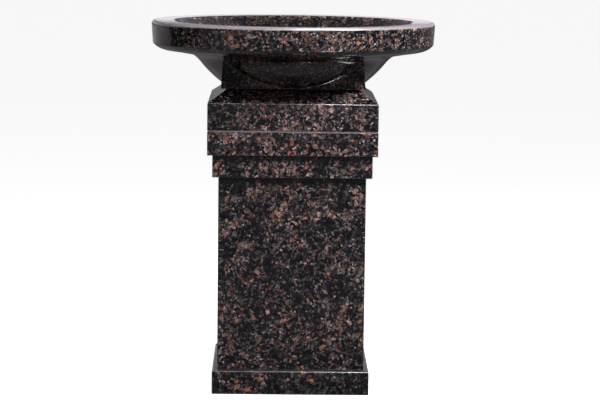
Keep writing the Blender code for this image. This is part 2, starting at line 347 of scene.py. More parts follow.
def make_stone(node, seed):
    low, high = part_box(node)
    half = high.x
    if node == "cap_stone":
        shoulder = low.z + CAP_FACE_HEIGHT
        levels = [(half, z) for z in heights(low.z, shoulder)]
        slope = heights(shoulder, high.z, SLOPE_SPACING)[1:]
        rise = high.z - shoulder
        levels += [(half - CAP_SLOPE_INSET * (z - shoulder) / rise, z) for z in slope]
    else:
        levels = [(half, z) for z in heights(low.z, high.z)]
    stone = mesh_object(f"{node}_polished", *square_rings(levels))
    bevel = stone.modifiers.new("Arris", "BEVEL")
    bevel.width = BASE_ARRIS if node == "base_slab" else ARRIS
    bevel.segments = ARRIS_STEPS
    bevel.limit_method = "ANGLE"
    bevel.angle_limit = math.radians(BEVEL_ANGLE)
    bevel.offset_type = "OFFSET"
    settle(stone)
    wear_arrises(stone, seed)
    cutters = [cylinder("bore", 0, BORE_RADIUS, low.z - MM, high.z + MM, BORE_STEPS)]
    if node == "cap_stone":
        pocket = cylinder("pocket", 0, POCKET_RADIUS, high.z - POCKET_DEPTH, high.z + MM, BORE_STEPS)
        cutters.append(pocket)
    cutters += dowel_cutters(low.z, high.z)
    cut(stone, cutters)
    smooth(stone)
    return stone


def make_bed(node, hole_radius, spread):
    """The mortar in one joint, a little hollow where it was raked and wiped."""
    low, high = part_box(node)
    half = high.x + spread
    middle = (low.z + high.z) / 2
    levels = [(half, low.z), (half - BED_HOLLOW, middle), (half, high.z)]
    bed = mesh_object(f"{node}_wiped", *square_rings(levels))
    form = bmesh.new()
    form.from_mesh(bed.data)
    for vertex in form.verts:
        if max(abs(vertex.co.x), abs(vertex.co.y)) > half - MM:
            pull = 1 - BED_HOLLOW / half * (1 + noise.noise(vertex.co * BED_UNEVEN))
            vertex.co.x *= pull
            vertex.co.y *= pull
    form.to_mesh(bed.data)
    form.free()
    cutters = [cylinder("bore", 0, hole_radius, low.z - MM, high.z + MM, BORE_STEPS)]
    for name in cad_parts:
        if "_dowel_" in name:
            bottom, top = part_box(name)
            if bottom.z < low.z and top.z > high.z:
                x, radius = (bottom.x + top.x) / 2, (top.y - bottom.y) / 2
                cutters.append(cylinder("hole", x, radius + GAP, low.z - MM, high.z + MM, DOWEL_STEPS))
    cut(bed, cutters)
    smooth(bed)
    return bed


# ---------------------------------------------------------------- bowl

def belly_height(radius):
    return BELLY_CENTRE - math.sqrt(BELLY_ROUND ** 2 - radius ** 2)


SOFFIT_SLOPE = (SOFFIT_HEIGHT - SOFFIT_INNER_HEIGHT) / (SOFFIT_RADIUS - SOFFIT_INNER_RADIUS)


def outside_height(radius):
    """The underside's height at a radius: belly, hollow, then the soffit under the rim."""
    if radius <= BELLY_TOP_RADIUS:
        return belly_height(radius)
    if radius >= SOFFIT_INNER_RADIUS:
        return SOFFIT_INNER_HEIGHT + SOFFIT_SLOPE * (radius - SOFFIT_INNER_RADIUS)
    corner = SOFFIT_INNER_HEIGHT - SOFFIT_SLOPE * (SOFFIT_INNER_RADIUS - SOFFIT_MEETS_BELLY)
    a = BELLY_TOP_RADIUS - 2 * SOFFIT_MEETS_BELLY + SOFFIT_INNER_RADIUS
    b = 2 * (SOFFIT_MEETS_BELLY - BELLY_TOP_RADIUS)
    c = BELLY_TOP_RADIUS - radius
    if abs(a) < TINY:
        t = -c / b
    else:
        t = (-b + math.sqrt(b * b - 4 * a * c)) / (2 * a)
    start = belly_height(BELLY_TOP_RADIUS)
    return (1 - t) ** 2 * start + 2 * t * (1 - t) * corner + t * t * SOFFIT_INNER_HEIGHT


def square_reach(angle, half):
    """Distance from the axis to a square's side at that angle, with its corners rounded."""
    x, y = abs(math.cos(angle)), abs(math.sin(angle))
    reach = half / max(x, y)
    inner = half - FOOT_CORNER
    if min(x, y) * reach <= inner:
        return reach
    along = inner * (x + y)
    return along + math.sqrt(along ** 2 - 2 * inner ** 2 + FOOT_CORNER ** 2)


def foot_half(height):
    return FOOT_HALF + (FOOT_TOP_HALF - FOOT_HALF) * height / FOOT_HEIGHT


def crease_height(angle):
    """The height at which the foot's side meets the turned underside."""
    low, high = 0.0, FOOT_HEIGHT
    for _ in range(CREASE_SEARCHES):
        middle = (low + high) / 2
        if outside_height(square_reach(angle, foot_half(middle))) > middle:
            low = middle
        else:
            high = middle
    return low


def column_angles():
    """Angles round the bowl, evenly spaced, with more of them at the foot's corners."""
    angles = []
    step = 90 / COLUMNS_PER_SIDE
    near = CORNER_TURNS[-1] + CORNER_MARGIN * step
    for corner in range(45, 360, 90):
        for turn in CORNER_TURNS:
            angles += [corner + turn] if not turn else [corner - turn, corner + turn]
    for i in range(4 * COLUMNS_PER_SIDE):
        angle = i * step
        if abs((angle % 90) - 45) > near:
            angles.append(angle)
    return [math.radians(angle) for angle in sorted(angles)]


def underside_column(angle):
    """Points (radius, height) from the drain hole out over the foot to the soffit."""
    meet = crease_height(angle)
    points = []
    base = square_reach(angle, FOOT_HALF - FOOT_ARRIS)
    for i in range(UNDER_STEPS):
        points.append((WASTE_BORE + (base - WASTE_BORE) * i / UNDER_STEPS, 0.0))
    for i in range(ARRIS_STEPS + 1):
        turn = math.radians(90 * i / ARRIS_STEPS)
        half = FOOT_HALF - FOOT_ARRIS * (1 - math.sin(turn))
        points.append((square_reach(angle, half), FOOT_ARRIS * (1 - math.cos(turn))))
    top = max(FOOT_ARRIS + LEAST_SIDE, meet - CREASE)
    for i in range(1, SIDE_STEPS + 1):
        height = FOOT_ARRIS + (top - FOOT_ARRIS) * i / SIDE_STEPS
        points.append((square_reach(angle, foot_half(height)), height))
    corner = Vector((square_reach(angle, foot_half(meet)), meet))
    start = Vector(points[-1])
    end_radius = corner.x + CREASE * CREASE_REACH
    end = Vector((end_radius, outside_height(end_radius)))
    for i in range(1, CREASE_STEPS + 1):
        t = i / CREASE_STEPS
        points.append(tuple((1 - t) ** 2 * start + 2 * t * (1 - t) * corner + t * t * end))
    for i in range(1, BELLY_STEPS + 1):
        radius = end_radius + (SOFFIT_SPLIT - end_radius) * i / BELLY_STEPS
        points.append((radius, outside_height(radius)))
    return points


def shared_outline(rim_radius, rim_top):
    """The rest of the bowl's section, the same all round: soffit, rim, lip, basin and recess."""
    reach = RIM_BOTTOM_RADIUS - SOFFIT_RADIUS
    fall = RIM_BOTTOM - SOFFIT_HEIGHT
    bend = (reach ** 2 + fall ** 2) / (2 * fall)
    end = -math.degrees(math.acos(reach / bend))
    under = [
        SOFFIT_SPLIT + (SOFFIT_RADIUS - SOFFIT_SPLIT) * i / SOFFIT_STEPS for i in range(1, SOFFIT_STEPS)
    ]
    under = [(radius, outside_height(radius)) for radius in under]
    under += arc((SOFFIT_RADIUS, SOFFIT_HEIGHT + bend), bend, -90, end, RIM_BEND_STEPS)[:-2]
    edge_top = rim_top - LIP_FALL
    depth = edge_top - BASIN_FLOOR
    chord = BASIN_RADIUS - BASIN_FLOOR_RADIUS
    round_radius = (chord ** 2 + depth ** 2) / (2 * depth) * BASIN_FLATNESS
    middle = ((BASIN_RADIUS + BASIN_FLOOR_RADIUS) / 2, (edge_top + BASIN_FLOOR) / 2)
    length = math.hypot(chord, depth)
    back = math.sqrt(round_radius ** 2 - (length / 2) ** 2)
    centre = (middle[0] - back * depth / length, middle[1] + back * chord / length)
    first = math.degrees(math.atan2(edge_top - centre[1], BASIN_RADIUS - centre[0]))
    last = math.degrees(math.atan2(BASIN_FLOOR - centre[1], BASIN_FLOOR_RADIUS - centre[0]))
    wall = arc(centre, round_radius, first, last, BASIN_STEPS)
    corners = [(radius, height, 0) for radius, height in under]
    corners.append((RIM_BOTTOM_RADIUS, RIM_BOTTOM, RIM_FOOT_ROUND))
    for i in range(1, BAND_STEPS):
        t = i / BAND_STEPS
        band = RIM_BOTTOM_RADIUS + (rim_radius - RIM_BOTTOM_RADIUS) * t
        corners.append((band, RIM_BOTTOM + (rim_top - RIM_BOTTOM) * t, 0))
    corners.append((rim_radius, rim_top, LIP_ROUND))
    corners.append((rim_radius - LIP_ROUND - LIP_CREST, rim_top, 0))
    corners.append((BASIN_RADIUS + LIP_FLAT_WIDTH, rim_top - LIP_FALL / 2, 0))
    corners.append((BASIN_RADIUS, edge_top, BASIN_EDGE_ROUND))
    corners += [(radius, height, 0) for radius, height in wall[2:]]
    corners.append((BASIN_FLOOR_RADIUS - RECESS_EDGE, BASIN_FLOOR, 0))
    corners.append((RECESS_RADIUS, BASIN_FLOOR, RECESS_BEND))
    corners.append((RECESS_RADIUS, BASIN_FLOOR - RECESS_DEPTH, 0))
    corners.append((WASTE_BORE, BASIN_FLOOR - RECESS_DEPTH, 0))
    corners.append((WASTE_BORE, (BASIN_FLOOR - RECESS_DEPTH) / 2, 0))
    return rounded(corners, BOWL_BEND_STEPS)


def mark_bowl(bowl, bottom, top):
    """Marks the basin's wall, which gets painted shade, and the lip's round edge, which is honed and not
    polished and is painted paler as a highlight.
    """
    honed_and_highlight = bowl.data.attributes.new("honed_and_highlight", "FLOAT", "POINT")
    basin = bowl.data.attributes.new("basin", "FLOAT", "POINT")
    for i, vertex in enumerate(bowl.data.vertices):
        x, y, z = vertex.co
        radius, height = math.hypot(x, y), z - bottom
        outer = radius > RIM_BOTTOM_RADIUS - LIP_ROUND + HONED_AND_HIGHLIGHT_INSET
        if outer and z > top - LIP_HONED_AND_HIGHLIGHT_SHARE * LIP_ROUND:
            honed_and_highlight.data[i].value = LIP_HONED_AND_HIGHLIGHT
        wall = RECESS_RADIUS < radius < BASIN_RADIUS + MM and z < top - LIP_FALL - MM
        if wall and height > outside_height(radius) + BASIN_THICKNESS:
            basin.data[i].value = 1.0


def make_bowl():
    low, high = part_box("bowl")
    angles = column_angles()
    shared = shared_outline(high.x, high.z - low.z)
    columns = [underside_column(angle) + shared for angle in angles]
    rows, count = len(columns[0]), len(columns)
    points, faces = [], []
    for angle, column in zip(angles, columns):
        for radius, height in column:
            points.append((radius * math.cos(angle), radius * math.sin(angle), low.z + height))
    for i in range(count):
        k = (i + 1) % count
        for j in range(rows):
            m = (j + 1) % rows
            faces.append((i * rows + j, k * rows + j, k * rows + m, i * rows + m))
    bowl = mesh_object("bowl_polished", points, faces)
    face_out(bowl)
    cut(bowl, dowel_cutters(low.z - MM, high.z))
    smooth(bowl)
    mark_bowl(bowl, low.z, high.z)
    return bowl


# ---------------------------------------------------------------- drain and plug

WASTE_TUBE = 20.5 * MM
WASTE_THROAT = 17.5 * MM
FLANGE_THICK = 3.0 * MM
FLANGE_BENDS = (1.2 * MM, 1.6 * MM, 0.4 * MM, 0.3 * MM)
THREAD_PITCH = 1.8 * MM
THREAD_DEPTH = 0.8 * MM
THREAD_BEGINS = 10 * MM         # below the flange's top
THREAD_SPARE = 12 * MM          # the length of tube without thread
TUBE_SHOULDER = 8 * MM

PLUG_CROWN = 9 * MM
PLUG_FALL = 0.4 * MM
PLUG_RIM_INSET = 4 * MM
PLUG_RIM_FALL = 1.2 * MM
PLUG_RIM_BEND = 0.8 * MM
PLUG_LIP = 2.5 * MM
PLUG_CORE = 13.0 * MM
PLUG_END = 15.7 * MM
PLUG_END_THICK = 2.0 * MM
PLUG_BEND = 0.3 * MM
PLUG_END_BEND = 0.5 * MM
BRASS_BEND_STEPS = 6
PLUG_BEND_STEPS = 4

SEAL_BORE = 13.3 * MM
SEAL_LIP = 1.1 * MM
SEAL_LIP_INSET = 2.2 * MM
SEAL_GROOVE = 0.9 * MM
SEAL_LIP_ANGLE = 70
SEAL_STEPS = 6

KNOB_NECK = 3.5 * MM
KNOB_NECK_HEIGHT = 1.2 * MM
KNOB_ROWS = 32
KNOB_ROW_ANGLE = 4.6
KNURL_ROWS = (11, 21)
KNURL_DEPTH = 0.22 * MM


def make_waste():
    """The flange in the basin's floor, and its threaded tube."""
    low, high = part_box("waste_body")
    top, under = high.z, high.z - FLANGE_THICK
    profile = [(WASTE_THROAT, top), (high.x, top), (high.x, under), (WASTE_TUBE, under)]
    corners = [(*point, bend) for point, bend in zip(profile, FLANGE_BENDS)]
    corners = [(WASTE_THROAT, top - THREAD_BEGINS, 0)] + corners + [(WASTE_TUBE, top - TUBE_SHOULDER, 0)]
    outline = rounded(corners, BRASS_BEND_STEPS)
    root = WASTE_TUBE - THREAD_DEPTH
    for i in range(int((top - THREAD_SPARE - low.z) / THREAD_PITCH)):
        crest = top - THREAD_BEGINS - i * THREAD_PITCH
        outline += [(WASTE_TUBE, crest), (root, crest - THREAD_PITCH / 2)]
    outline += [(root, low.z), (WASTE_THROAT, low.z)]
    return turned("waste_flange", outline)


def make_plug_body():
    """The plug's domed cover, its core and the flange below that holds the seal."""
    low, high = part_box("plug_body")
    edge, lip, end_top = high.x, high.z - PLUG_LIP, low.z + PLUG_END_THICK
    corners = [
        (0, high.z, 0),
        (PLUG_CROWN, high.z, 0),
        (edge - PLUG_RIM_INSET, high.z - PLUG_FALL, 0),
        (edge, high.z - PLUG_RIM_FALL, PLUG_RIM_BEND),
        (edge, lip, PLUG_BEND),
        (PLUG_CORE, lip, PLUG_BEND),
        (PLUG_CORE, end_top, PLUG_BEND),
        (PLUG_END, end_top, PLUG_BEND),
        (PLUG_END, low.z, PLUG_END_BEND),
        (0, low.z, 0),
    ]
    return turned("plug_cover", rounded(corners, PLUG_BEND_STEPS))


def make_plug_seal():
    """The rubber ring round the core, with three soft lips."""
    low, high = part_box("plug_seal")
    outer = high.x
    groove = outer - SEAL_GROOVE
    outline = [(SEAL_BORE, high.z), (groove, high.z)]
    for centre in (high.z - SEAL_LIP_INSET, (low.z + high.z) / 2, low.z + SEAL_LIP_INSET):
        outline += arc((outer - SEAL_LIP, centre), SEAL_LIP, SEAL_LIP_ANGLE, -SEAL_LIP_ANGLE, SEAL_STEPS)
    outline += [(groove, low.z), (SEAL_BORE, low.z)]
    return turned("plug_rubber", outline)


def make_plug_knob():
    """The ball that the plug is pulled by, grooved round its middle for grip."""
    low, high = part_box("plug_knob")
    ball = high.x
    centre = high.z - ball
    outline = [(0, high.z)]
    for i in range(1, KNOB_ROWS + 1):
        angle = math.radians(90 - KNOB_ROW_ANGLE * i)
        radius = ball
        if KNURL_ROWS[0] <= i <= KNURL_ROWS[1]:
            radius -= KNURL_DEPTH * (i % 2)
        outline.append((radius * math.cos(angle), centre + radius * math.sin(angle)))
    outline += [(KNOB_NECK, low.z + KNOB_NECK_HEIGHT), (KNOB_NECK, low.z), (0, low.z)]
    return turned("plug_pull", outline)


# ---------------------------------------------------------------- materials

# Where a Mix node has its two colours, and its two numbers
COLOUR_SOCKETS = (6, 7)
NUMBER_SOCKETS = (2, 3)


class Nodes:
    """A few short ways to add nodes to a tree."""

    def __init__(self, tree):
        self.tree = tree

    def add(self, kind, **values):
        node = self.tree.nodes.new(kind)
        for key, value in values.items():
            setattr(node, key, value)
        return node

    def link(self, start, end):
        self.tree.links.new(start, end)

    def put(self, socket, value):
        if isinstance(value, bpy.types.NodeSocket):
            self.link(value, socket)
        elif isinstance(value, tuple) and len(value) == 3 and socket.type == "RGBA":
            socket.default_value = (*value, 1.0)
        else:
            socket.default_value = value

    def math(self, operation, first, second=None, third=None):
        node = self.add("ShaderNodeMath", operation=operation)
        for socket, value in zip(node.inputs, (first, second, third)):
            if value is not None:
                self.put(socket, value)
        return node.outputs[0]

    def shifted(self, value, amount, base):
        """The base, moved by a value's distance from its middle, 0.5."""
        return self.math("MULTIPLY_ADD", self.math("SUBTRACT", value, 0.5), amount, base)

    def vector(self, operation, first, second=None, scale=None):
        node = self.add("ShaderNodeVectorMath", operation=operation)
        self.put(node.inputs[0], first)
        if second is not None:
            self.put(node.inputs[1], second)
        if scale is not None:
            self.put(node.inputs["Scale"], scale)
        return node.outputs[0]

    def between(self, value, low, high, out_low=0.0, out_high=1.0, kind="SMOOTHSTEP"):
        node = self.add("ShaderNodeMapRange", interpolation_type=kind, clamp=True)
        for name, number in zip(
            ("Value", "From Min", "From Max", "To Min", "To Max"),
            (value, low, high, out_low, out_high),
        ):
            self.put(node.inputs[name], number)
        return node.outputs[0]

    def mix(self, factor, first, second, blend="MIX"):
        node = self.add("ShaderNodeMix", data_type="RGBA", blend_type=blend)
        self.put(node.inputs[0], factor)
        for socket, value in zip(COLOUR_SOCKETS, (first, second)):
            self.put(node.inputs[socket], value)
        return node.outputs[2]

    def noise(self, where, scale, detail=2.0, rough=0.5, colour=False):
        node = self.add("ShaderNodeTexNoise")
        self.link(where, node.inputs["Vector"])
        node.inputs["Scale"].default_value = scale
        node.inputs["Detail"].default_value = detail
        node.inputs["Roughness"].default_value = rough
        return node.outputs["Color" if colour else "Fac"]

    def cells(self, where, scale):
        """Distance to the nearest cell point, and three random numbers for that cell."""
        node = self.add("ShaderNodeTexVoronoi")
        self.link(where, node.inputs["Vector"])
        node.inputs["Scale"].default_value = scale
        split = self.add("ShaderNodeSeparateColor")
        self.link(node.outputs["Color"], split.inputs[0])
        return node.outputs["Distance"], *split.outputs

    def ramp(self, value, stops):
        node = self.add("ShaderNodeValToRGB")
        points = node.color_ramp.elements
        while len(points) < len(stops):
            points.new(0.5)
        for point, (where, colour) in zip(points, stops):
            point.position = where
            point.color = (*colour, 1.0)
        self.link(value, node.inputs[0])
        return node.outputs["Color"]

    def blend(self, factor, first, second):
        node = self.add("ShaderNodeMix", data_type="FLOAT")
        self.put(node.inputs[0], factor)
        for socket, value in zip(NUMBER_SOCKETS, (first, second)):
            self.put(node.inputs[socket], value)
        return node.outputs[0]

    def steps(self, value, stops):
        """A level that changes at each stop: (start, level), then (place, half width, next level)."""
        level = stops[0][1]
        for where, width, after in stops[1:]:
            level = self.blend(self.between(value, where - width, where + width), level, after)
        return level

    def grey(self, value):
        node = self.add("ShaderNodeCombineColor")
        for socket in node.inputs[:3]:
            self.link(value, socket)
        return node.outputs[0]

    def bump(self, height, strength, distance, normal=None):
        node = self.add("ShaderNodeBump")
        node.inputs["Strength"].default_value = strength
        node.inputs["Distance"].default_value = distance
        self.link(height, node.inputs["Height"])
        if normal is not None:
            self.link(normal, node.inputs["Normal"])
        return node.outputs["Normal"]


def new_material(name):
    material = bpy.data.materials.new(name)
    material.use_nodes = True
    tree = material.node_tree
    return material, Nodes(tree), tree.nodes["Principled BSDF"]


# Granite: (position on the ramp, colour) for the crystals and for the ground between them
FELDSPAR = (
    (0.00, (0.020, 0.009, 0.007)),
    (0.30, (0.066, 0.030, 0.022)),
    (0.55, (0.155, 0.078, 0.060)),
    (0.75, (0.280, 0.158, 0.132)),
    (0.90, (0.440, 0.290, 0.260)),
    (1.00, (0.600, 0.470, 0.450)),
)
GROUND = (
    (0.00, (0.0010, 0.0010, 0.0018)),
    (0.30, (0.0045, 0.0048, 0.0065)),
    (0.60, (0.0170, 0.0155, 0.0170)),
    (0.85, (0.0550, 0.0460, 0.0470)),
    (1.00, (0.1500, 0.1280, 0.1320)),
)
RUST = (0.500, 0.160, 0.075)
ROSE = (0.520, 0.250, 0.200)
QUARTZ = (0.460, 0.400, 0.415)
# Painted highlight: the pale colour given to the honed arrises and lip
HONED_AND_HIGHLIGHT_COLOUR = (0.300, 0.275, 0.290)
# The basin's wall is darkened with painted shade: it keeps only this share of its colour
BASIN_PAINTED_SHADE = 0.32              # how much of its colour the basin's wall keeps, to match the photo

# Granite: cells or waves per metre
RIPPLES = 105
GRAIN = 520
ZONES = 240
CLUMPS = 27
BROAD_CLUMPS = 9
GROUND_CELLS = 170
CRYSTAL_CELLS = 100
CHIP_CELLS = 215
LONE_CELLS = 52
SPECK_CELLS = 165
RUST_PATCHES = 17
WAVES = 14

# Granite: (where it begins, where it is complete) on a pattern that runs from 0 to 1
IN_CLUMP = (0.42, 0.62)
IN_SPECK_CLUMP = (0.38, 0.64)
IN_RUST_PATCH = (0.50, 0.62)
IN_LONE = (0.44, 0.32)
IN_SPECK = (0.50, 0.32)
GRAIN_RANGE = (0.30, 0.70)
HONED_AND_HIGHLIGHT_RANGE = (0.25, 0.60)
RUSTY_HUES = (0.35, 0.65)
RUSTY_LONE_HUES = (0.3, 0.7)
FLESH_TONES = (0.1, 0.9)

# Granite: amounts
PATTERN_TILT = (0.3, 0.5, 1.0)  # the shares of the turn about X, Y and Z
MIDDLE_GREY = (0.5, 0.5, 0.5)
RIPPLE_REACH = 0.014
BROAD_SHARE = 0.45
CLUMP_SHARE = 0.5
ZONES_IN_GROUND = 1.2
ZONES_IN_CRYSTAL = 1.0
ZONES_IN_LONE = 2.4
CHIP_SHARE = 0.60
HUE_SHARE = 0.45
CRYSTALS_BARE = 0.95            # the share of cells without a crystal, outside and in a clump
CRYSTALS_FULL = 0.45
SPECKS_BARE = 0.98
SPECKS_FULL = 0.80
CRYSTAL_SIZE = 0.42
CRYSTAL_SPREAD = 0.30
CRYSTAL_EDGE = 0.10
LONE_STRETCH = (1.0, 1.0, 1.5)
GRAIN_DARK = 0.65
GRAIN_LIGHT = 1.35
# How strongly the honed arrises and lip are painted paler, as a painted highlight
HONED_AND_HIGHLIGHT_LEAST = 0.35
HONED_PALE_AS_HIGHLIGHT = 0.75
HONED_ROUGH = 0.35
POLISH_ROUGH = 0.045
POLISH_SPREAD = 0.10
STONE_IOR = 1.54


def granite(name, shift, turn, crystals, specks, rust, rare=0.95):
    """Polished dark granite: clumps of liver-brown and pinkish crystals in a black and grey ground."""
    material, n, shader = new_material(name)
    coords = n.add("ShaderNodeTexCoord").outputs["Object"]
    mapping = n.add("ShaderNodeMapping")
    n.link(coords, mapping.inputs["Vector"])
    mapping.inputs["Location"].default_value = shift
    mapping.inputs["Rotation"].default_value = [share * turn for share in PATTERN_TILT]
    place = mapping.outputs[0]
    ripple = n.noise(place, RIPPLES, detail=3.0, rough=0.6, colour=True)
    ripple = n.vector("SUBTRACT", ripple, MIDDLE_GREY)
    warped = n.vector("ADD", place, n.vector("SCALE", ripple, scale=RIPPLE_REACH))
    fine = n.noise(place, GRAIN, detail=4.0, rough=0.7)
    zones = n.math("SUBTRACT", n.noise(place, ZONES, detail=3.0, rough=0.65), 0.5)
    clump = n.noise(place, CLUMPS, detail=2.0, rough=0.6)
    broad = n.noise(place, BROAD_CLUMPS, detail=1.0, rough=0.5)
    clump = n.shifted(broad, BROAD_SHARE, clump)

    # The ground between the crystals
    _, _, hue, _ = n.cells(warped, GROUND_CELLS)
    hue = n.shifted(clump, CLUMP_SHARE, hue)
    ground = n.ramp(n.math("MULTIPLY_ADD", zones, ZONES_IN_GROUND, hue), GROUND)

    # Feldspar crystals, each broken into chips of its own tone, and some of them rusty
    distance, kind, hue, size = n.cells(warped, CRYSTAL_CELLS)
    empty = n.between(clump, *IN_CLUMP, CRYSTALS_BARE - crystals, CRYSTALS_FULL - crystals)
    present = n.math("GREATER_THAN", kind, empty)
    edge = n.math("MULTIPLY_ADD", size, CRYSTAL_SPREAD, CRYSTAL_SIZE)
    body = n.between(distance, edge, n.math("SUBTRACT", edge, CRYSTAL_EDGE))
    big = n.math("MULTIPLY", present, body)
    _, _, chip, _ = n.cells(warped, CHIP_CELLS)
    tone = n.math("MULTIPLY_ADD", chip, CHIP_SHARE, n.math("MULTIPLY", hue, HUE_SHARE))
    feldspar = n.ramp(n.math("MULTIPLY_ADD", zones, ZONES_IN_CRYSTAL, tone), FELDSPAR)
    rusty = n.noise(place, RUST_PATCHES, detail=2.0, rough=0.5)
    burnt = n.math("MULTIPLY", n.between(rusty, *IN_RUST_PATCH), n.between(hue, *RUSTY_HUES))
    feldspar = n.mix(n.math("MULTIPLY", burnt, rust), feldspar, n.mix(chip, FELDSPAR[1][1], RUST))
    colour = n.mix(big, ground, feldspar)

    # Rare, larger and longer crystals of a flesh colour
    stretch = n.vector("MULTIPLY", warped, LONE_STRETCH)
    distance, kind, hue, _ = n.cells(stretch, LONE_CELLS)
    lone = n.math("GREATER_THAN", n.shifted(clump, CLUMP_SHARE, kind), rare)
    lone = n.math("MULTIPLY", lone, n.between(distance, *IN_LONE))
    flesh = n.between(n.math("MULTIPLY_ADD", zones, ZONES_IN_LONE, chip), *FLESH_TONES)
    flesh = n.mix(flesh, FELDSPAR[1][1], ROSE)
    burnt = n.math("MULTIPLY", n.between(hue, *RUSTY_LONE_HUES), rust)
    flesh = n.mix(burnt, flesh, n.mix(chip, flesh, RUST))
    colour = n.mix(lone, colour, flesh)

    # Light specks of quartz, then the fine grain and the painted shade on the basin's wall over
    # everything
    distance, kind, hue, _ = n.cells(warped, SPECK_CELLS)
    empty = n.between(clump, *IN_SPECK_CLUMP, SPECKS_BARE - specks, SPECKS_FULL - specks)
    light = n.math("GREATER_THAN", kind, empty)
    light = n.math("MULTIPLY", light, n.between(distance, *IN_SPECK))
    colour = n.mix(light, colour, n.mix(hue, FELDSPAR[2][1], QUARTZ))
    # Painted shade: the basin's wall is darkened
    basin = n.add("ShaderNodeAttribute", attribute_name="basin").outputs["Fac"]
    shade = n.between(fine, *GRAIN_RANGE, GRAIN_DARK, GRAIN_LIGHT, "LINEAR")
    shade = n.math("MULTIPLY", shade, n.between(basin, 0.0, 1.0, 1.0, BASIN_PAINTED_SHADE))
    colour = n.mix(1.0, colour, n.grey(shade), "MULTIPLY")

    # The arrises and the lip's edge are honed: rougher than the polish, and painted paler, which also
    # paints the highlight along them
    edges = n.add("ShaderNodeAttribute", attribute_name="honed_and_highlight").outputs["Fac"]
    honed_and_highlight = n.math("MULTIPLY", edges, n.between(fine, *HONED_AND_HIGHLIGHT_RANGE, HONED_AND_HIGHLIGHT_LEAST, 1.0))
    colour = n.mix(n.math("MULTIPLY", honed_and_highlight, HONED_PALE_AS_HIGHLIGHT), colour, HONED_AND_HIGHLIGHT_COLOUR)
    n.link(colour, shader.inputs["Base Color"])
    rough = n.math("MULTIPLY_ADD", fine, POLISH_SPREAD, POLISH_ROUGH)
    n.link(n.blend(honed_and_highlight, rough, HONED_ROUGH), shader.inputs["Roughness"])
    shader.inputs["IOR"].default_value = STONE_IOR
    wave = n.bump(n.noise(place, WAVES, detail=1.0), strength=0.25, distance=1.0 * MM)
    grain = n.bump(fine, strength=0.12, distance=0.2 * MM, normal=wave)
    n.link(grain, shader.inputs["Normal"])
    return material


# The other materials: waves per metre
SAND = 900
MORTAR_STAINS = 30
TARNISH = 55
BLOOM = 140
RUBBER_PORES = 900
BRASS_MARKS = 260
STEEL_MARKS = 200
COPPER_MARKS = 160
MARK_LENGTH = 9                 # how much longer than wide a tool mark is

# The other materials: (where it begins, where it is complete) on a pattern that runs from 0 to 1
SAND_TONES = (0.35, 0.70)
SAND_ROUGH = (0.3, 0.7)
MORTAR_STAINED = (0.45, 0.75)
TARNISHED = (0.42, 0.70)
MARKS_ROUGH = (0.35, 0.65)
BLOOMED = (0.45, 0.75)
BLOOM_ROUGH = (0.3, 0.7)
RUBBER = ((0.012, 0.012, 0.013), (0.040, 0.039, 0.038))


def mortar(name, dark, light):
    """Fine sanded mortar, darker where it was wiped."""
    material, n, shader = new_material(name)
    place = n.add("ShaderNodeTexCoord").outputs["Object"]
    sand = n.noise(place, SAND, detail=3.0, rough=0.7)
    stain = n.noise(place, MORTAR_STAINS, detail=3.0, rough=0.6)
    colour = n.mix(n.between(sand, *SAND_TONES), dark, light)
    colour = n.mix(n.between(stain, *MORTAR_STAINED, out_high=0.6), colour, dark)
    n.link(colour, shader.inputs["Base Color"])
    n.link(n.between(sand, *SAND_ROUGH, out_low=0.65, out_high=0.9), shader.inputs["Roughness"])
    n.link(n.bump(sand, strength=0.5, distance=0.4 * MM), shader.inputs["Normal"])
    return material


def metal(name, bright, dull, rough_low, rough_high, fineness=BRASS_MARKS, lathe=True):
    """A worked metal with fine marks round the axis or along it, and a little tarnish."""
    material, n, shader = new_material(name)
    place = n.add("ShaderNodeTexCoord").outputs["Object"]
    mapping = n.add("ShaderNodeMapping")
    n.link(place, mapping.inputs["Vector"])
    stretch = (1, 1, MARK_LENGTH) if lathe else (MARK_LENGTH, MARK_LENGTH, 1)
    mapping.inputs["Scale"].default_value = stretch
    marks = n.noise(mapping.outputs[0], fineness, detail=3.0, rough=0.6)
    stain = n.noise(place, TARNISH, detail=4.0, rough=0.6)
    n.link(n.mix(n.between(stain, *TARNISHED), bright, dull), shader.inputs["Base Color"])
    shader.inputs["Metallic"].default_value = 1.0
    both = n.math("MULTIPLY_ADD", stain, 0.5, n.math("MULTIPLY", marks, 0.5))
    n.link(n.between(both, *MARKS_ROUGH, rough_low, rough_high), shader.inputs["Roughness"])
    n.link(n.bump(marks, strength=0.25, distance=0.1 * MM), shader.inputs["Normal"])
    return material


def rubber(name):
    """Black rubber with a greyish bloom."""
    material, n, shader = new_material(name)
    place = n.add("ShaderNodeTexCoord").outputs["Object"]
    bloom = n.noise(place, BLOOM, detail=4.0, rough=0.6)
    n.link(n.mix(n.between(bloom, *BLOOMED), *RUBBER), shader.inputs["Base Color"])
    n.link(n.between(bloom, *BLOOM_ROUGH, out_low=0.50, out_high=0.78), shader.inputs["Roughness"])
    pores = n.noise(place, RUBBER_PORES, detail=2.0)
    n.link(n.bump(pores, strength=0.3, distance=0.1 * MM), shader.inputs["Normal"])
    return material


def dress(piece, material):
    piece.data.materials.clear()
    piece.data.materials.append(material)


def place_piece(piece, material, body, slot, *nodes):
    dress(piece, material)
    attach(piece, body)
    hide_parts(*nodes)


# ---------------------------------------------------------------- the font

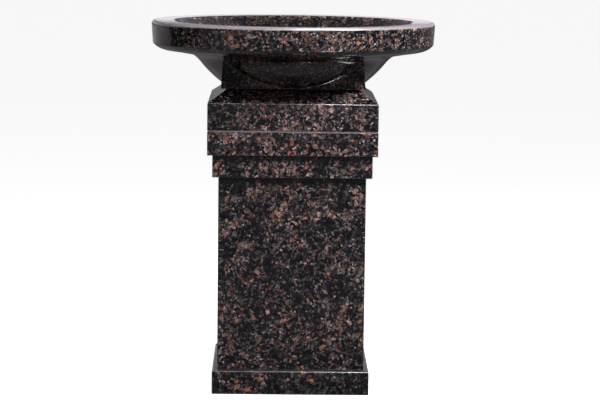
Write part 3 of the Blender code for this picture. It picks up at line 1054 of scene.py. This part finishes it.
# For each stone: where its pattern is cut from, how it is turned, its extra crystals and light
# specks, how rusty it is, and from what number up a cell holds one of the rare crystals
STONES = {
    "base_slab": ((1.31, 0.42, 0.77), 0.4, -0.12, -0.06, 1.0, 0.90),
    "shaft": ((0.13, 2.62, 1.90), 1.1, -0.05, 0.00, 0.25, 0.95),
    "lower_course": ((3.71, 1.15, 0.36), 2.3, 0.00, 0.00, 0.5, 0.94),
    "middle_course": ((2.24, 3.37, 2.81), 0.9, 0.05, 0.00, 0.9, 0.88),
    "cap_stone": ((0.92, 0.55, 4.13), 1.7, 0.04, 0.14, 0.2),
}
BOWL_PATTERN = ((5.18, 0.27, 1.45), 0.2, 0.02, 0.12, 0.4)
DARK_MORTAR = ((0.030, 0.027, 0.028), (0.085, 0.078, 0.080))
PALE_JOINT = ((0.190, 0.175, 0.190), (0.360, 0.335, 0.360))
BRASS = ((0.78, 0.58, 0.30), (0.52, 0.37, 0.18))
STEEL = ((0.62, 0.62, 0.63), (0.42, 0.42, 0.43))
COPPER = ((0.72, 0.40, 0.28), (0.36, 0.20, 0.14))

for seed, (node, pattern) in enumerate(STONES.items()):
    stone = make_stone(node, seed + 1.5)
    place_piece(stone, granite(f"granite_{node}", *pattern), FONT, "granite", node)
bowl = make_bowl()
place_piece(bowl, granite("granite_bowl", *BOWL_PATTERN), FONT, "granite", "bowl")

grey_mortar = mortar("mortar_dark", *DARK_MORTAR)
pale_joint = mortar("joint_pale", *PALE_JOINT)
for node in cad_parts:
    if node.endswith("_bed_joint"):
        hole = POCKET_RADIUS if node == "bowl_bed_joint" else BORE_RADIUS
        spread = BOWL_BED_SPREAD if node == "bowl_bed_joint" else BED_SPREAD
        # The joint under the cap stone is pale, which shows as a light line along the front
        look = pale_joint if node == "cap_stone_bed_joint" else grey_mortar
        place_piece(make_bed(node, hole, spread), look, FONT, "resin_mortar", node)

brass = metal("brass_polished", *BRASS, rough_low=0.12, rough_high=0.30)
place_piece(make_waste(), brass, FONT, "brass", "waste_body")
place_piece(make_plug_body(), brass, PLUG, "brass", "plug_body")
place_piece(make_plug_seal(), rubber("rubber_seal"), PLUG, "rubber", "plug_seal")
knob_brass = metal("brass_knob", *BRASS, rough_low=0.10, rough_high=0.24)
place_piece(make_plug_knob(), knob_brass, PLUG, "brass", "plug_knob")

steel = metal("steel_pin", *STEEL, rough_low=0.28, rough_high=0.45, fineness=STEEL_MARKS, lathe=False)
dull_brass = metal("brass_fitting", *BRASS, rough_low=0.25, rough_high=0.45)
copper = metal(
    "copper_pipe", *COPPER, rough_low=0.25, rough_high=0.50, fineness=COPPER_MARKS, lathe=False
)
black_rubber = rubber("rubber_gasket")
for node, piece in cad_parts.items():
    if "_dowel_" in node:
        dress(piece, steel)
    elif "gasket" in node:
        dress(piece, black_rubber)
    elif node in ("clamp_washer", "locknut", "slip_nut"):
        dress(piece, dull_brass)
    elif node == "drain_pipe":
        dress(piece, copper)


# ---------------------------------------------------------------- floor, light and camera

FLOOR_RADIUS = 60.0
FLOOR_RING = 3.0
FLOOR_TOP = -1 * MM
FLOOR_UNDER = -20 * MM
FLOOR_GREYS = ((0.86, 0.86, 0.86), (0.88, 0.88, 0.88))
FLOOR_CLOUDS = 1.2
FLOOR_ROUGH = 0.9
FLOOR_GLOW = 0.80


def make_floor():
    """A pale floor that only the camera sees, and that glows so that it stays nearly white."""
    outline = [(0, FLOOR_TOP), (FLOOR_RING, FLOOR_TOP), (FLOOR_RADIUS, FLOOR_TOP)]
    outline += [(FLOOR_RADIUS, FLOOR_UNDER), (0, FLOOR_UNDER)]
    floor = turned("floor", outline, FLOOR_STEPS)
    material, n, shader = new_material("floor_pale")
    place = n.add("ShaderNodeTexCoord").outputs["Object"]
    cloud = n.noise(place, FLOOR_CLOUDS, detail=3.0)
    n.link(n.mix(cloud, *FLOOR_GREYS), shader.inputs["Base Color"])
    shader.inputs["Roughness"].default_value = FLOOR_ROUGH
    shader.inputs["Specular IOR Level"].default_value = 0.0
    shader.inputs["Emission Color"].default_value = (1, 1, 1, 1)
    shader.inputs["Emission Strength"].default_value = FLOOR_GLOW
    dress(floor, material)
    floor.visible_glossy = False
    floor.visible_diffuse = False


# The room that the polish mirrors, as levels for Nodes.steps. Round it (ROUND) they go by the
# turn in radians from +Y towards +X, and up it (UP) by the sine of the height. FROM is the height
# at which one part begins to take over from the other, and the height at which it is alone.
# FRONT_ROUND is 1 on the camera's side of the room and 0 on the far side. The levels are set so
# that the stones' faces mirror about what the photo shows on them.
FRONT_ROUND = ((-math.pi, 1.0), (math.radians(-97), 0.10, 0.0), (math.radians(100), 0.30, 1.0))
FRONT_UP = (
    (-1, 0.12),
    (-0.197, 0.004, 0.02),
    (-0.182, 0.004, 0.24),
    (-0.150, 0.012, 0.15),
    (-0.125, 0.012, 0.12),
    (-0.085, 0.006, 0.32),
)
GROUND_ROUND = (
    (-math.pi, 0.05),
    (math.radians(-60), 0.01, 0.42),
    (math.radians(-4), 0.06, 0.20),
)
GROUND_UP = ((-1, 0.40), (-0.125, 0.02, 0.70), (-0.09, 0.015, 1.0), (-0.05, 0.01, 0.30))
GROUND_NEAR = 0.24
GROUND_NEAR_FROM = (-0.26, -0.42)
SKY_LOW_UP = ((-1, 0.15), (0.035, 0.012, 1.15), (0.165, 0.02, 0.14))
SKY_LOW_FRONT = 0.05
SKY_ROUND = (
    (-math.pi, 1.0),
    (math.radians(-170), 0.04, 2.6),
    (math.radians(-62), 0.08, 0.25),
    (math.radians(-5), 0.15, 0.50),
    (math.radians(62), 0.08, 2.6),
    (math.radians(170), 0.04, 1.0),
)
SKY_FROM = (0.23, 0.33)
ZENITH_FROM = (0.83, 0.89)
ZENITH_LIGHT = 0.16
HORIZON = (-0.012, 0.012)
SCATTER_HORIZON = (-0.02, 0.02)
SKY_LIGHT = 0.15
BOUNCE = 0.09
MIRROR_TINT = (0.97, 0.92, 1.00)


def make_world():
    """White to the camera, dim to rough surfaces, and a room of light and dark walls to the polish."""
    world = bpy.data.worlds.new("studio")
    bpy.context.scene.world = world
    world.use_nodes = True
    tree = world.node_tree
    tree.nodes.clear()
    n = Nodes(tree)
    direction = n.add("ShaderNodeTexCoord").outputs["Generated"]
    split = n.add("ShaderNodeSeparateXYZ")
    n.link(direction, split.inputs[0])
    x, y, z = split.outputs
    turn = n.math("ARCTAN2", x, y)
    front = n.steps(turn, FRONT_ROUND)
    ground = n.math("MULTIPLY", n.steps(turn, GROUND_ROUND), n.steps(z, GROUND_UP))
    ground = n.blend(front, ground, n.steps(z, FRONT_UP))
    ground = n.blend(n.between(z, *GROUND_NEAR_FROM), ground, GROUND_NEAR)
    sky = n.blend(front, n.steps(z, SKY_LOW_UP), SKY_LOW_FRONT)
    sky = n.blend(n.between(z, *SKY_FROM), sky, n.steps(turn, SKY_ROUND))
    sky = n.blend(n.between(z, *ZENITH_FROM), sky, ZENITH_LIGHT)
    mirrored = n.blend(n.between(z, *HORIZON), ground, sky)
    scattered = n.blend(n.between(z, *SCATTER_HORIZON), BOUNCE, SKY_LIGHT)
    path = n.add("ShaderNodeLightPath")
    strength = n.blend(path.outputs["Is Glossy Ray"], scattered, mirrored)
    strength = n.blend(path.outputs["Is Camera Ray"], strength, 1.0)
    background = n.add("ShaderNodeBackground")
    n.link(n.mix(path.outputs["Is Glossy Ray"], (1, 1, 1), MIRROR_TINT), background.inputs["Color"])
    n.link(strength, background.inputs["Strength"])
    n.link(background.outputs[0], n.add("ShaderNodeOutputWorld").inputs[0])


def area_light(name, where, aim, width, height, power):
    light = bpy.data.lights.new(name, "AREA")
    light.shape = "RECTANGLE"
    light.size = width
    light.size_y = height
    light.energy = power
    lamp = bpy.data.objects.new(name, light)
    bpy.context.scene.collection.objects.link(lamp)
    lamp.location = where
    toward = Vector(aim) - Vector(where)
    lamp.rotation_mode = "QUATERNION"
    lamp.rotation_quaternion = toward.to_track_quat("-Z", "Y")
    lamp.visible_camera = False
    return lamp


# For each light: where it stands, what it faces, its width and height, its watts, and the rays
# that don't see it, besides the camera's
LIGHTS = {
    "key": ((0.22, -1.94, 2.41), (0, -0.3, 0.75), (0.3, 0.3), 27, None),
    "side": ((1.47, -1.37, 2.33), (0, -0.1, 0.7), (0.8, 0.4), 72, None),
    "back": ((-1.3, 1.9, 1.9), (0, 0, 0.6), (0.8, 0.6), 30, "visible_glossy"),
    "overhead": ((0.58, -0.75, 2.9), (0.5, -0.2, 0.1), (0.9, 0.5), 120, "visible_diffuse"),
    "low": ((0.46, -0.80, 0.03), (0.46, -0.80, 1.0), (0.26, 0.14), 6, "visible_diffuse"),
}


def make_lights():
    for name, (where, aim, size, power, unseen) in LIGHTS.items():
        lamp = area_light(name, where, aim, *size, power)
        if unseen:
            setattr(lamp, unseen, False)


# The camera at the photograph's viewing angle; the angles are in degrees
CAMERA_PLACE = (-0.048, -6.487, 1.257)
CAMERA_LENS = 150
CAMERA_SENSOR = 36
CAMERA_PITCH = 6.85
CAMERA_YAW = 0.62
CAMERA_ROLL = 0.64


def make_camera():
    data = bpy.data.cameras.new("camera")
    data.lens = CAMERA_LENS
    data.sensor_width = CAMERA_SENSOR
    camera = bpy.data.objects.new("camera", data)
    bpy.context.scene.collection.objects.link(camera)
    pitch, yaw, roll = (math.radians(angle) for angle in (CAMERA_PITCH, CAMERA_YAW, CAMERA_ROLL))
    ahead = Vector((math.sin(yaw) * math.cos(pitch), math.cos(yaw) * math.cos(pitch), -math.sin(pitch)))
    right = Vector((math.cos(yaw), -math.sin(yaw), 0))
    up = right.cross(ahead)
    right, up = (
        right * math.cos(roll) + up * math.sin(roll),
        up * math.cos(roll) - right * math.sin(roll),
    )
    turn = Matrix((right, up, -ahead)).transposed()
    camera.matrix_world = Matrix.Translation(CAMERA_PLACE) @ turn.to_4x4()
    bpy.context.scene.camera = camera


make_floor()
make_world()
make_lights()
make_camera()
bpy.context.scene.view_settings.view_transform = "Standard"
